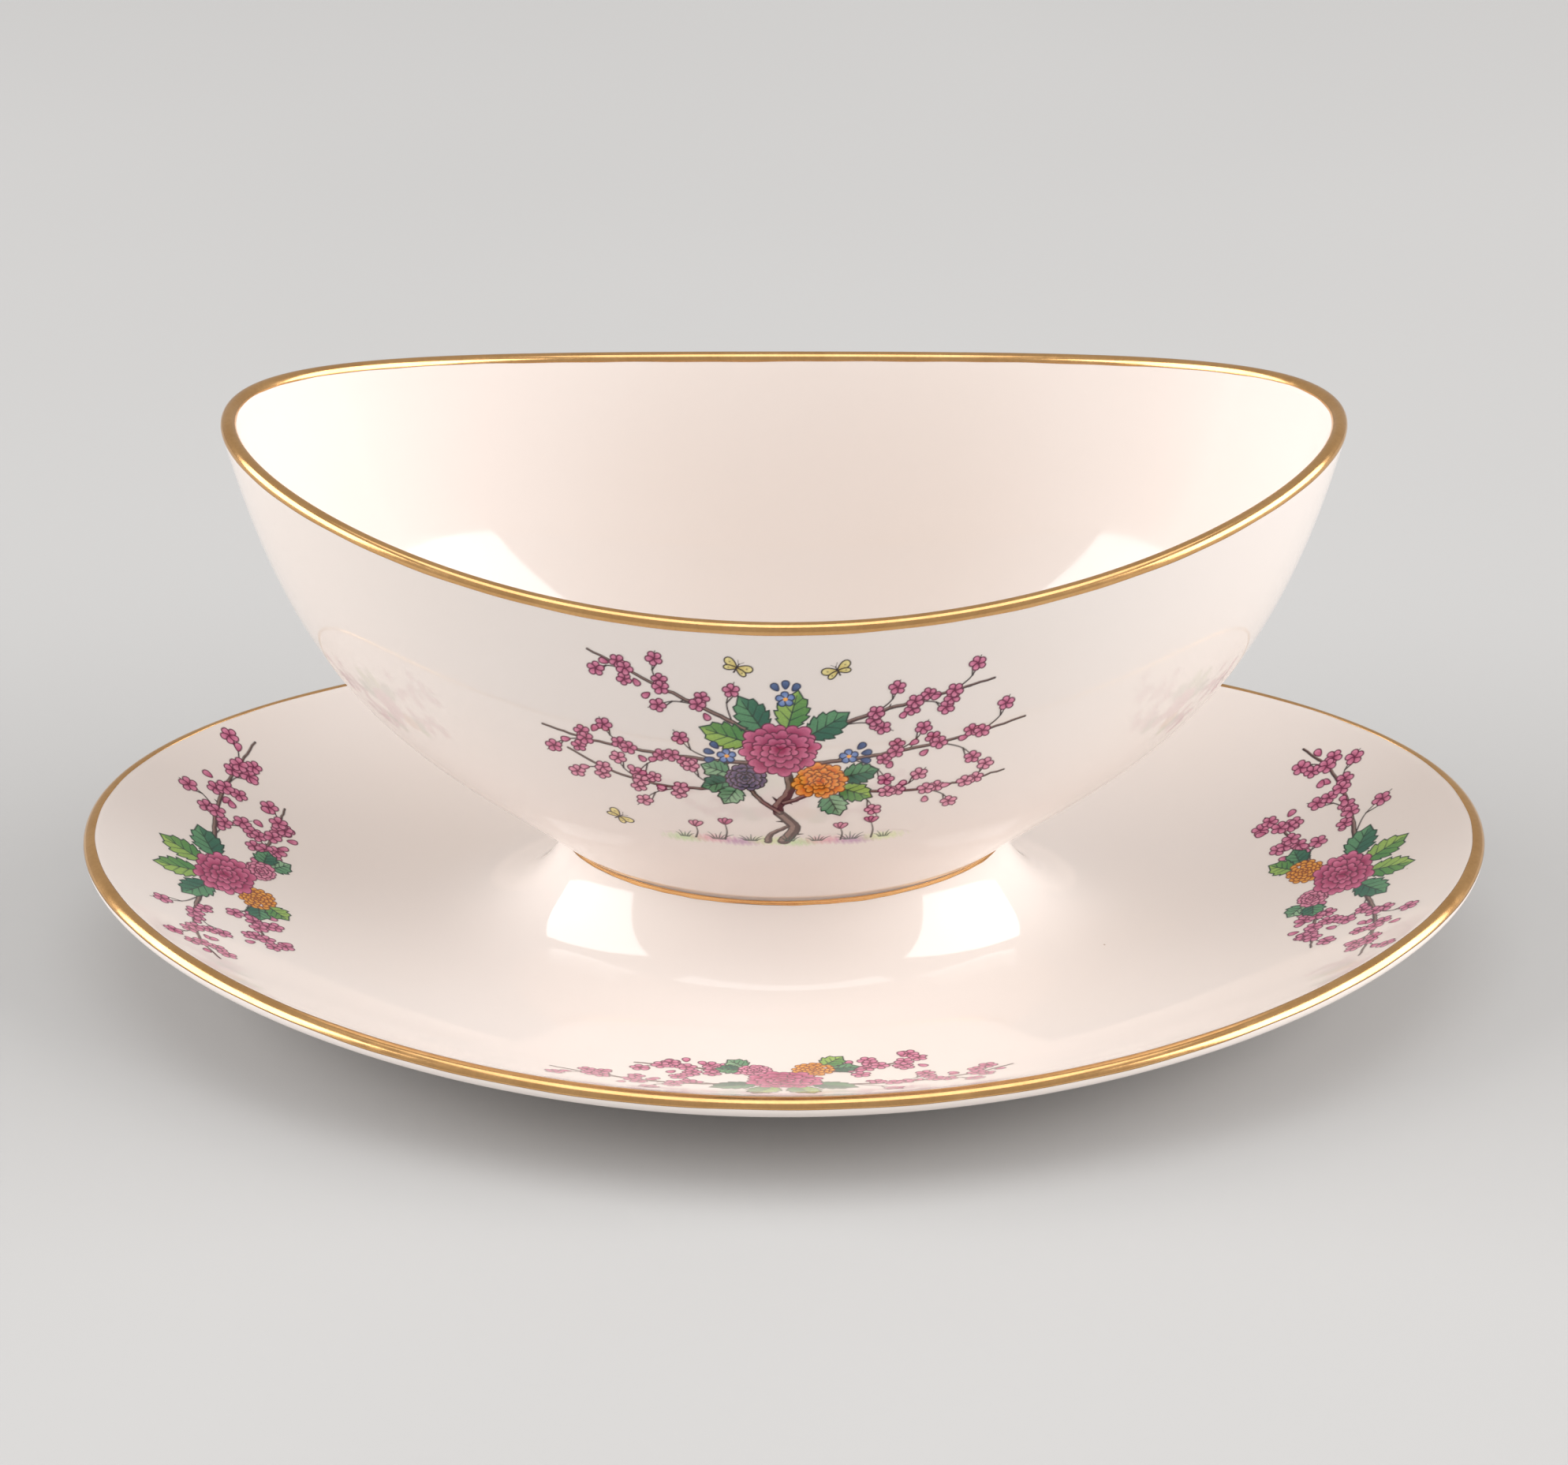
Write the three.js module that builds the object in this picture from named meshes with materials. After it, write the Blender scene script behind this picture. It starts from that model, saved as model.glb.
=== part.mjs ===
// Handle-less oval gravy boat in glazed bone china, fixed on its own underplate.
// The underplate's middle rises as a hollow flared pedestal. The bowl's flat base is
// luted on top of the pedestal with slip, and gold bands finish both rims and the seam.
//
// Millimetres. +X runs along the length, +Z is up, and the origin is the centre of the
// flat face that the foot ring stands on.
import * as THREE from 'three';

// Driving dimensions.
const PINCH = 0.072; // how much every oval narrows towards its ends, against an ellipse
const NECK = { x: 37.8, y: 25.8, z: 23 }; // the waist between pedestal and bowl
const BOWL_RIM = { x: 93.35, y: 55.6, z: 88.2, rise: 12.4 }; // rise: how much higher the ends are
const PLATE_RIM = { x: 118.8, y: 80.4, z: 18.6, rise: 6.1 };
const WELL = { spread: 0.33, z: 6.6 }; // lowest ring of the underplate's top face
const COUPE_CURVE = 1.85; // exponent of the underplate's rise from the well to the rim
const BOWL_WALL = { rim: 2.5, base: 3 };
const PLATE_WALL = 3.3;
const FOOT_RING = { inner: 0.29, outer: 0.325, draft: 0.01 }; // spreads, as in the well
const GOLD = { thick: 0.35, gap: 0.25 };
const BOWL_BAND_DROP = 0.1; // how far the gold runs down both sides of the bowl's lip
const PLATE_BAND = { from: 14, to: 110 }; // where the gold lies on the lip, in degrees
const NECK_BAND_HALF = 0.6; // how far the gold runs up and down from the waist
const SEAM = { bottom: 22.5, top: 23.4, gap: 0.3 }; // pedestal's top and bowl's base
const FLOOR_Z = 26.2; // lowest point of the bowl's inside
const FLOOR_START = 0.06; // where on the outer curve the inner wall turns into the floor
const FLOOR_TURN = 12; // exponent of that turn: higher is flatter and tighter

// Mesh density.
const AROUND = 48;
const BOWL_STEPS = 11;
const PLATE_STEPS = 6; // for each of the underplate's two curves

// A cubic Bezier curve's value in one coordinate.
function bezier(t, [p0, p1, p2, p3]) {
  const u = 1 - t;
  return u * u * u * p0 + 3 * u * u * t * p1 + 3 * u * t * t * p2 + t * t * t * p3;
}

function oval(x, y, z, angle) {
  const c = Math.cos(angle);
  return new THREE.Vector3(x * c, y * Math.sin(angle) * (1 - PINCH * c * c), z);
}

function rimHeight(rim, angle) {
  return rim.z + rim.rise * Math.cos(angle) ** 2;
}

// A point between the waist, where spread is 0, and a rim, where spread is 1.
function spreadOval(rim, spread, z, angle) {
  const x = THREE.MathUtils.lerp(NECK.x, rim.x, spread);
  const y = THREE.MathUtils.lerp(NECK.y, rim.y, spread);
  return oval(x, y, z, angle);
}

// The bowl's outer face: s is 0 at the waist and 1 at the rim.
function bowlOuter(s, angle) {
  const spread = bezier(s, [0, 0.484, 0.798, 1]);
  const climb = bezier(s, [0, 0.281, 0.352, 1]);
  const z = THREE.MathUtils.lerp(NECK.z, rimHeight(BOWL_RIM, angle), climb);
  return spreadOval(BOWL_RIM, spread, z, angle);
}

// The underplate's top face: s is 0 at the rim, 1 at the well and 2 at the waist.
function plateTop(s, angle) {
  if (s <= 1) {
    const spread = THREE.MathUtils.lerp(1, WELL.spread, s);
    const climb = (1 - s) ** COUPE_CURVE;
    const z = THREE.MathUtils.lerp(WELL.z, rimHeight(PLATE_RIM, angle), climb);
    return spreadOval(PLATE_RIM, spread, z, angle);
  }
  const spread = bezier(s - 1, [WELL.spread, 0.15, 0.055, 0]);
  const z = bezier(s - 1, [WELL.z, WELL.z, 11.5, NECK.z]);
  return spreadOval(PLATE_RIM, spread, z, angle);
}

// Outward normal and upward direction of a face, from small steps on it.
function frameOn(face, s, angle) {
  const step = 1e-3;
  const along = face(s + step, angle).sub(face(s - step, angle));
  const around = face(s, angle + step).sub(face(s, angle - step));
  return { point: face(s, angle), normal: around.cross(along).normalize(), along: along.normalize() };
}

// A point sunk below a face, measured square to it.
function sunk(face, s, angle, depth) {
  const { point, normal } = frameOn(face, s, angle);
  return point.addScaledVector(normal, -depth);
}

// A point on a round lip that continues a face past its edge. turn is in degrees: 0 is
// level with the face, 90 is the tip of the lip.
function onLip(face, edge, past, angle, lipRadius, radius, turn) {
  const { point, normal, along } = frameOn(face, edge, angle);
  const centre = point.addScaledVector(normal, -lipRadius);
  const rad = THREE.MathUtils.degToRad(turn);
  return centre
    .addScaledVector(normal, radius * Math.cos(rad))
    .addScaledVector(along, past * radius * Math.sin(rad));
}

const bowlLip = (angle, radius, turn) =>
  onLip(bowlOuter, 1, 1, angle, BOWL_WALL.rim / 2, radius, turn);
const plateLip = (angle, radius, turn) =>
  onLip(plateTop, 0, -1, angle, PLATE_WALL / 2, radius, turn);

// The curve parameter that lies a given length from `from` on a face.
function paramAtLength(face, from, direction, length, angle) {
  const step = 1e-3;
  let s = from;
  let run = 0;
  while (run < length) {
    run += face(s, angle).distanceTo(face(s + direction * step, angle));
    s += direction * step;
  }
  return s;
}

function steps(from, to, count) {
  return Array.from({ length: count + 1 }, (_, i) => THREE.MathUtils.lerp(from, to, i / count));
}

// A closed body from one profile for each angle. The profiles run anticlockwise when
// seen with the outside on the right. They either start and end on the axis or close.
function sweepProfile(name, profile, look) {
  const rows = Array.from({ length: AROUND }, (_, j) => profile((j / AROUND) * 2 * Math.PI));
  const count = rows[0].length;
  const onAxis = (i) => rows[0][i].x === 0 && rows[0][i].y === 0;
  const positions = [];
  const index = rows.map(() => new Array(count));
  for (let i = 0; i < count; i++) {
    for (let j = 0; j < AROUND; j++) {
      if (onAxis(i) && j > 0) {
        index[j][i] = index[0][i];
      } else {
        index[j][i] = positions.length / 3;
        positions.push(...rows[j][i].toArray());
      }
    }
  }
  const closes = !onAxis(0);
  const triangles = [];
  for (let i = 0; i < (closes ? count : count - 1); i++) {
    const next = (i + 1) % count;
    for (let j = 0; j < AROUND; j++) {
      const k = (j + 1) % AROUND;
      const [a, b, c, d] = [index[j][i], index[k][i], index[k][next], index[j][next]];
      if (a !== b) triangles.push(a, b, c);
      if (c !== d) triangles.push(a, c, d);
    }
  }
  const geometry = new THREE.BufferGeometry();
  geometry.setAttribute('position', new THREE.Float32BufferAttribute(positions, 3));
  geometry.setIndex(triangles);
  geometry.computeVertexNormals();
  const mesh = new THREE.Mesh(geometry, new THREE.MeshStandardMaterial(look));
  mesh.name = name;
  return mesh;
}

const CHINA = { color: 0xf2e9df, roughness: 0.08, metalness: 0 };
const GOLD_LOOK = { color: 0xc8963f, roughness: 0.25, metalness: 1 };
const SLIP_LOOK = { color: 0xe9e1d6, roughness: 0.6, metalness: 0 };

const RECESS = GOLD.thick + GOLD.gap; // depth of the china's face under a gold band
const BOWL_LIP = BOWL_WALL.rim / 2;
const PLATE_LIP = PLATE_WALL / 2;
const PLATE_GAP = THREE.MathUtils.radToDeg(GOLD.gap / PLATE_LIP); // the gap as a turn

// Where each gold band ends on its face, at one angle.
const bowlBandEdge = (angle, extra) =>
  paramAtLength(bowlOuter, 1, -1, BOWL_BAND_DROP + extra, angle);
const neckBandTop = (angle, extra) =>
  paramAtLength(bowlOuter, 0, 1, NECK_BAND_HALF + extra, angle);
const neckBandBottom = (angle, extra) =>
  paramAtLength(plateTop, 2, -1, NECK_BAND_HALF + extra, angle);

function bowlWall(s) {
  return THREE.MathUtils.lerp(BOWL_WALL.base, BOWL_WALL.rim, s);
}

function waist(inset, z, angle) {
  return oval(NECK.x - inset, NECK.y - inset, z, angle);
}

function bowlProfile(angle) {
  const low = neckBandTop(angle, GOLD.gap);
  const high = bowlBandEdge(angle, GOLD.gap);
  const points = [new THREE.Vector3(0, 0, SEAM.top), waist(RECESS, SEAM.top, angle)];
  points.push(sunk(bowlOuter, low, angle, RECESS));
  for (const s of steps(low, high, BOWL_STEPS)) points.push(bowlOuter(s, angle));
  points.push(sunk(bowlOuter, high, angle, RECESS));
  for (const turn of steps(0, 180, 4)) points.push(bowlLip(angle, BOWL_LIP - RECESS, turn));
  points.push(sunk(bowlOuter, high, angle, BOWL_WALL.rim - RECESS));
  for (const s of steps(high, FLOOR_START, BOWL_STEPS)) {
    points.push(sunk(bowlOuter, s, angle, bowlWall(s)));
  }
  const edge = points.at(-1);
  for (const ring of [0.95, 0.85, 0.6, 0]) {
    const z = THREE.MathUtils.lerp(FLOOR_Z, edge.z, ring ** FLOOR_TURN);
    points.push(new THREE.Vector3(edge.x * ring, edge.y * ring, z));
  }
  return points;
}

function underplateProfile(angle) {
  const low = PLATE_BAND.to + PLATE_GAP;
  const high = PLATE_BAND.from - PLATE_GAP;
  const inner = neckBandBottom(angle, GOLD.gap);
  const points = [];
  for (const turn of [150, low]) points.push(plateLip(angle, PLATE_LIP, turn));
  for (const turn of steps(low, high, 3)) points.push(plateLip(angle, PLATE_LIP - RECESS, turn));
  points.push(plateLip(angle, PLATE_LIP, high));
  for (const s of steps(0, 1, PLATE_STEPS)) points.push(plateTop(s, angle));
  for (const s of steps(1, inner, PLATE_STEPS).slice(1)) points.push(plateTop(s, angle));
  points.push(waist(RECESS, plateTop(inner, angle).z, angle));
  points.push(waist(RECESS, SEAM.bottom, angle), waist(PLATE_WALL, SEAM.bottom, angle));
  for (const s of steps(1.9, 1.1, PLATE_STEPS)) points.push(sunk(plateTop, s, angle, PLATE_WALL));
  points.push(...footRing(angle));
  for (const s of steps(0.9, 0, PLATE_STEPS)) points.push(sunk(plateTop, s, angle, PLATE_WALL));
  return points;
}

function footRing(angle) {
  const root = WELL.z - PLATE_WALL;
  const corner = (spread, z) => spreadOval(PLATE_RIM, spread, z, angle);
  return [
    corner(FOOT_RING.inner - FOOT_RING.draft, root),
    corner(FOOT_RING.inner, 0),
    corner(FOOT_RING.outer, 0),
    corner(FOOT_RING.outer + FOOT_RING.draft, root),
  ];
}

function bowlRimGoldProfile(angle) {
  const s = bowlBandEdge(angle, 0);
  const inside = BOWL_WALL.rim;
  const turns = steps(0, 180, 6);
  return [
    bowlOuter(s, angle),
    ...turns.map((turn) => bowlLip(angle, BOWL_LIP, turn)),
    sunk(bowlOuter, s, angle, inside),
    sunk(bowlOuter, s, angle, inside - GOLD.thick),
    ...turns.reverse().map((turn) => bowlLip(angle, BOWL_LIP - GOLD.thick, turn)),
    sunk(bowlOuter, s, angle, GOLD.thick),
  ];
}

function plateRimGoldProfile(angle) {
  const turns = steps(PLATE_BAND.to, PLATE_BAND.from, 3);
  return [
    ...turns.map((turn) => plateLip(angle, PLATE_LIP, turn)),
    ...turns.reverse().map((turn) => plateLip(angle, PLATE_LIP - GOLD.thick, turn)),
  ];
}

function neckGoldProfile(angle) {
  const s = neckBandTop(angle, 0);
  const bottom = plateTop(neckBandBottom(angle, 0), angle);
  return [
    bottom,
    waist(0, NECK.z, angle),
    bowlOuter(s, angle),
    sunk(bowlOuter, s, angle, GOLD.thick),
    waist(GOLD.thick, NECK.z, angle),
    waist(GOLD.thick, bottom.z, angle),
  ];
}

function slipJointProfile(angle) {
  const low = SEAM.bottom + SEAM.gap;
  const high = SEAM.top - SEAM.gap;
  return [
    waist(RECESS, low, angle),
    waist(RECESS, high, angle),
    waist(PLATE_WALL, high, angle),
    waist(PLATE_WALL, low, angle),
  ];
}

const gravyBoat = new THREE.Group();
gravyBoat.add(
  sweepProfile('bowl', bowlProfile, CHINA),
  sweepProfile('underplate', underplateProfile, CHINA),
  sweepProfile('slip_joint', slipJointProfile, SLIP_LOOK),
  sweepProfile('bowl_rim_gold', bowlRimGoldProfile, GOLD_LOOK),
  sweepProfile('neck_gold', neckGoldProfile, GOLD_LOOK),
  sweepProfile('underplate_rim_gold', plateRimGoldProfile, GOLD_LOOK),
);

export default gravyBoat;
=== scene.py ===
# Oval gravy boat fixed on its own underplate: glazed bone china with gold bands and
# fired enamel flowers. Lengths are worked out in millimetres and meshes made in metres.
import math
from collections import namedtuple

import bpy
import numpy as np
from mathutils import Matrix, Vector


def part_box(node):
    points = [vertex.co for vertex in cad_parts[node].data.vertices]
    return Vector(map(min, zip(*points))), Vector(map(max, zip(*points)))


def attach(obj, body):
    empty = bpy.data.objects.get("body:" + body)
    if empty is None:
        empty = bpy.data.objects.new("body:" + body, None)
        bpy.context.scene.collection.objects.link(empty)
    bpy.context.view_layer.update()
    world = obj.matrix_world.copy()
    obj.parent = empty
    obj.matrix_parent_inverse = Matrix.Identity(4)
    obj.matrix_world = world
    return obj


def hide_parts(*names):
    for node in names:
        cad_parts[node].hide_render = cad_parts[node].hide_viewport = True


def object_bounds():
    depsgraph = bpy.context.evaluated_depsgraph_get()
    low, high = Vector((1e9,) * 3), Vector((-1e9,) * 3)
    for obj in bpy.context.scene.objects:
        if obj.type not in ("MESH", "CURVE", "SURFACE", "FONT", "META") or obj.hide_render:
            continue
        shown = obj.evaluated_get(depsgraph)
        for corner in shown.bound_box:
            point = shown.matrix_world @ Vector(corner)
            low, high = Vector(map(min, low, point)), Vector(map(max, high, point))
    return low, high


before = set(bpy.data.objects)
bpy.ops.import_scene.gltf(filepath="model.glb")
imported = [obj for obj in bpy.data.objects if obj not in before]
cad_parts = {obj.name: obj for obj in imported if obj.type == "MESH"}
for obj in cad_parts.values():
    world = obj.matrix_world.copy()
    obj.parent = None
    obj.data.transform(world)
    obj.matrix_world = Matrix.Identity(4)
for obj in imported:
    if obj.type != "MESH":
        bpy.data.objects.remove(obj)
cad_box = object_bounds()

MM = 0.001
AROUND = 360  # steps around each oval

# ---------------------------------------------------------------- sizes from the frame


def corners(node):
    return [np.array(corner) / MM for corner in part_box(node)]


RIM_LOW, RIM_HIGH = corners("bowl_rim_gold")
PLATE_LOW, PLATE_HIGH = corners("underplate_rim_gold")
_, NECK_HIGH = corners("neck_gold")
SLIP_LOW, SLIP_HIGH = corners("slip_joint")

PINCH = 0.072  # how much every oval narrows towards its ends, against an ellipse
BOWL_LIP = 1.25  # radius of the bowl's rounded lip
BOWL_BAND_DROP = 0.15  # how far the gold runs down both sides of the lip
PLATE_LIP = 1.65
PLATE_OVERHANG = 2.48  # how far the underplate's gold stands out past its top face
PLATE_BAND = (110, 14)  # where the gold lies on the underplate's lip, in degrees
NECK_BAND_HALF = 0.58
PLATE_WALL = 3.3
BOWL_WALL_BASE, BOWL_WALL_RIM = 3.0, 2.5
WELL_SPREAD, WELL_Z = 0.33, 6.6  # lowest ring of the underplate's top face
COUPE_CURVE = 1.85
FOOT_INNER, FOOT_OUTER = 0.29, 0.325
FLOOR_Z = 26.2  # lowest point of the bowl's inside
FLOOR_START = 0.06
FLOOR_TURN = 12

SEAM_GAP = 0.3  # from the slip joint to the china above and below it
EDGE_ROUND = 0.6  # how far in from the waist both facing edges are rounded

# How far each gold band reaches past the edge of the face that it is painted on.
NECK_GOLD_PAST = np.array([0.483, 0.388, 0.718])
BOWL_GOLD_BELOW, BOWL_GOLD_ABOVE = 0.127, 1.492
PLATE_GOLD_BELOW, PLATE_GOLD_ABOVE = 1.157, 0.194

# The waist's half length, half width and height, then the same for each rim, with the
# height at the middle of a side followed by the height at the ends.
NECK = tuple(NECK_HIGH - NECK_GOLD_PAST)
BOWL_RIM = (RIM_HIGH[0], RIM_HIGH[1], RIM_LOW[2] + BOWL_GOLD_BELOW, RIM_HIGH[2] - BOWL_GOLD_ABOVE)
PLATE_RIM = (
    PLATE_HIGH[0] - PLATE_OVERHANG,
    PLATE_HIGH[1] - PLATE_OVERHANG,
    PLATE_LOW[2] + PLATE_GOLD_BELOW,
    PLATE_HIGH[2] - PLATE_GOLD_ABOVE,
)

# ---------------------------------------------------------------------------- surfaces


def bezier(t, points):
    u = 1 - t
    a, b, c, d = points
    return u**3 * a + 3 * u * u * t * b + 3 * u * t * t * c + t**3 * d


def oval(x, y, z, angle):
    c = np.cos(angle)
    parts = (x * c, y * np.sin(angle) * (1 - PINCH * c * c), z + 0 * c)
    return np.stack(np.broadcast_arrays(*parts), -1)


def rim_height(rim, angle):
    return rim[2] + (rim[3] - rim[2]) * np.cos(angle) ** 2


def spread_oval(rim, spread, z, angle):
    """A point between the waist, where spread is 0, and a rim, where spread is 1."""
    x = NECK[0] + (rim[0] - NECK[0]) * spread
    y = NECK[1] + (rim[1] - NECK[1]) * spread
    return oval(x, y, z, angle)


def bowl_outer(s, angle):
    """The bowl's outer face: s is 0 at the waist and 1 at the rim."""
    climb = bezier(s, (0, 0.281, 0.352, 1))
    z = NECK[2] + (rim_height(BOWL_RIM, angle) - NECK[2]) * climb
    return spread_oval(BOWL_RIM, bezier(s, (0, 0.484, 0.798, 1)), z, angle)


def plate_top(s, angle):
    """The underplate's top face: s is 0 at the rim, 1 at the well and 2 at the waist."""
    s = np.asarray(s, float)
    flare = np.clip(s - 1, 0, 2)
    spread = np.where(s <= 1, 1 + (WELL_SPREAD - 1) * s, bezier(flare, (WELL_SPREAD, 0.15, 0.055, 0)))
    coupe = WELL_Z + (rim_height(PLATE_RIM, angle) - WELL_Z) * np.clip(1 - s, 0, 2) ** COUPE_CURVE
    z = np.where(s <= 1, coupe, bezier(flare, (WELL_Z, WELL_Z, 11.5, NECK[2])))
    return spread_oval(PLATE_RIM, spread, z, angle)


def unit(v):
    return v / np.linalg.norm(v, axis=-1, keepdims=True)


def frame_on(face, s, angle):
    """Points on a face, their outward normals and the directions of rising s."""
    step = 1e-3
    along = face(s + step, angle) - face(s - step, angle)
    around = face(s, angle + step) - face(s, angle - step)
    return face(s, angle), unit(np.cross(around, along)), unit(along)


def raised(face, s, angle, height):
    """Points standing off a face, measured square to it; below it if height is negative."""
    point, normal, _ = frame_on(face, s, angle)
    return point + normal * height


def after_length(face, start, length, angle):
    """The curve parameter a short signed length on from start."""
    step = 1e-3
    speed = np.linalg.norm(face(start + step, angle) - face(start - step, angle), axis=-1)
    return start + length * 2 * step / speed


def on_lip(face, edge, past, angle, lip, radius, turn):
    """Points on the round lip past a face's edge: turn 0 is level with the face."""
    point, normal, along = frame_on(face, edge, angle)
    turn = np.radians(turn)
    out = np.cos(turn), past * np.sin(turn)
    if np.ndim(turn):
        out = out[0][:, None], out[1][:, None]
    return point + normal * (radius * out[0] - lip) + along * radius * out[1]


def bowl_lip(angle, radius, turn):
    return on_lip(bowl_outer, 1.0, 1, angle, BOWL_LIP, radius, turn)


def plate_lip(angle, radius, turn):
    return on_lip(plate_top, 0.0, -1, angle, PLATE_LIP, radius, turn)


def waist(inset, z, angle):
    return oval(NECK[0] - inset, NECK[1] - inset, z, angle)


# ------------------------------------------------------------------------------ meshes


def new_object(name, vertices, faces):
    mesh = bpy.data.meshes.new(name)
    mesh.from_pydata((np.asarray(vertices) * MM).tolist(), [], faces)
    mesh.validate()
    mesh.shade_smooth()
    piece = bpy.data.objects.new(name, mesh)
    bpy.context.scene.collection.objects.link(piece)
    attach(piece, "root")
    return piece


ANGLES = np.arange(AROUND) * (2 * math.pi / AROUND)


def sweep(name, rows):
    """A closed body from rows of points around the ovals. The rows run anticlockwise
    seen with the outside on the right, and start and end on the axis or close."""
    on_axis = [np.abs(row[:, :2]).max() < 1e-9 for row in rows]
    vertices, index = [], []
    for row, pole in zip(rows, on_axis):
        start = len(vertices)
        vertices.extend(row[:1] if pole else row)
        index.append([start] * AROUND if pole else list(range(start, start + AROUND)))
    faces = []
    last = len(rows) - 1 if on_axis[0] else len(rows)
    for i in range(last):
        low, high = index[i], index[(i + 1) % len(rows)]
        for j in range(AROUND):
            k = (j + 1) % AROUND
            face = (low[j], low[k], high[k], high[j])
            if on_axis[i]:
                face = (low[j], high[k], high[j])
            elif on_axis[(i + 1) % len(rows)]:
                face = (low[j], low[k], high[j])
            faces.append(face)
    return new_object(name, vertices, faces)


def bowl_rows():
    a = ANGLES
    base = SLIP_HIGH[2] + SEAM_GAP
    low = after_length(bowl_outer, 0.0, EDGE_ROUND, a)
    rows = [np.tile([0.0, 0.0, base], (AROUND, 1))]
    rows += [waist(EDGE_ROUND, base, a) * [r, r, 1] for r in (0.5, 0.9, 0.98, 1.0)]
    for t in np.linspace(0, 1, 64) ** 0.8:
        rows.append(bowl_outer(low + (1 - low) * t, a))
    rows += [bowl_lip(a, BOWL_LIP, turn) for turn in range(12, 180, 12)]
    for s in np.linspace(1, FLOOR_START, 64):
        wall = BOWL_WALL_BASE + (BOWL_WALL_RIM - BOWL_WALL_BASE) * s
        rows.append(raised(bowl_outer, s, a, -wall))
    edge = rows[-1]
    for ring in (0.99, 0.975, 0.955, 0.93, 0.9, 0.87, 0.83, 0.78, 0.7, 0.6, 0.4, 0.2, 0):
        z = FLOOR_Z + (edge[:, 2] - FLOOR_Z) * ring**FLOOR_TURN
        rows.append(np.stack([edge[:, 0] * ring, edge[:, 1] * ring, z], -1))
    return rows


def rounded(points, radius):
    """A polyline of (spread, z) corners with its middle corners rounded."""
    out = [points[0]]
    for before, corner, after in zip(points, points[1:], points[2:]):
        before, corner, after = map(np.array, (before, corner, after))
        scale = np.array([(PLATE_RIM[0] - NECK[0]), 1])
        back, on = (before - corner) * scale, (after - corner) * scale
        p = corner * scale + unit(back) * radius
        q = corner * scale + unit(on) * radius
        for t in (0, 0.25, 0.5, 0.75, 1):
            curve = (1 - t) ** 2 * p + 2 * t * (1 - t) * corner * scale + t * t * q
            out.append(curve / scale)
    return out + [points[-1]]


def underplate_rows():
    a = ANGLES
    top = after_length(plate_top, 2.0, -EDGE_ROUND, a)
    rows = [plate_lip(a, PLATE_LIP, turn) for turn in range(168, 0, -12)]
    for t in np.linspace(0, 1, 60):
        rows.append(plate_top(t, a))
    for t in np.linspace(0, 1, 50)[1:]:
        rows.append(plate_top(1 + (top - 1) * t, a))
    seam = SLIP_LOW[2] - SEAM_GAP
    rows += [waist(inset, seam, a) for inset in (EDGE_ROUND, 2 * EDGE_ROUND, PLATE_WALL - 0.5)]
    rows.append(waist(PLATE_WALL, seam - 0.5, a))
    for s in np.linspace(1.93, 1.12, 36):
        rows.append(raised(plate_top, s, a, -PLATE_WALL))
    root = WELL_Z - PLATE_WALL
    profile = [
        (FOOT_INNER - 0.03, root + 0.05),
        (FOOT_INNER - 0.008, root),
        (FOOT_INNER, 0),
        (FOOT_OUTER, 0),
        (FOOT_OUTER + 0.01, root),
        (FOOT_OUTER + 0.03, root + 0.05),
    ]
    for spread, z in rounded(profile, 0.5):
        rows.append(spread_oval(PLATE_RIM, spread, z, a))
    for s in np.linspace(0.93, 0.0, 50):
        rows.append(raised(plate_top, s, a, -PLATE_WALL))
    return rows


def gold_edge(angle, seed):
    """The small unevenness of a hand-drawn gold edge, in millimetres."""
    wave = np.sin(7 * angle + seed) + 0.7 * np.sin(17 * angle + 2.3 * seed)
    return 0.05 * wave + 0.03 * np.sin(41 * angle + 5 * seed)


GOLD_OUT, GOLD_IN = 0.05, 0.01  # the film's two faces above the glaze


def closed_film(outer):
    """A thin closed ring from a function giving its rows at one height off the glaze."""
    return outer(GOLD_OUT) + outer(GOLD_IN)[::-1]


def bowl_rim_gold_rows():
    a = ANGLES

    def rows(height):
        low = after_length(bowl_outer, 1.0, -BOWL_BAND_DROP - gold_edge(a, 1), a)
        back = after_length(bowl_outer, 1.0, -BOWL_BAND_DROP - gold_edge(a, 2), a)
        out = [raised(bowl_outer, low + (1 - low) * t, a, height) for t in (0, 0.5, 1)]
        out += [bowl_lip(a, BOWL_LIP + height, turn) for turn in range(12, 180, 12)]
        inside = -BOWL_WALL_RIM - height
        return out + [raised(bowl_outer, back + (1 - back) * t, a, inside) for t in (1, 0.5, 0)]

    return closed_film(rows)


def plate_rim_gold_rows():
    a = ANGLES

    def rows(height):
        low, high = (PLATE_BAND[k] + 35 * gold_edge(a, 3 + k) for k in (0, 1))
        return [plate_lip(a, PLATE_LIP + height, low + (high - low) * t) for t in np.linspace(0, 1, 12)]

    return closed_film(rows)


def neck_gold_rows():
    a = ANGLES

    def rows(height):
        low = after_length(plate_top, 2.0, -NECK_BAND_HALF - gold_edge(a, 4), a)
        high = after_length(bowl_outer, 0.0, NECK_BAND_HALF + gold_edge(a, 5), a)
        out = [raised(plate_top, low + (2 - low) * t, a, height) for t in (0, 0.35, 0.7)]
        out.append(waist(-0.1 - height, NECK[2], a))
        return out + [raised(bowl_outer, high * t, a, height) for t in (0.3, 0.65, 1)]

    return closed_film(rows)


# --------------------------------------------------------------------------- materials


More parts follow.
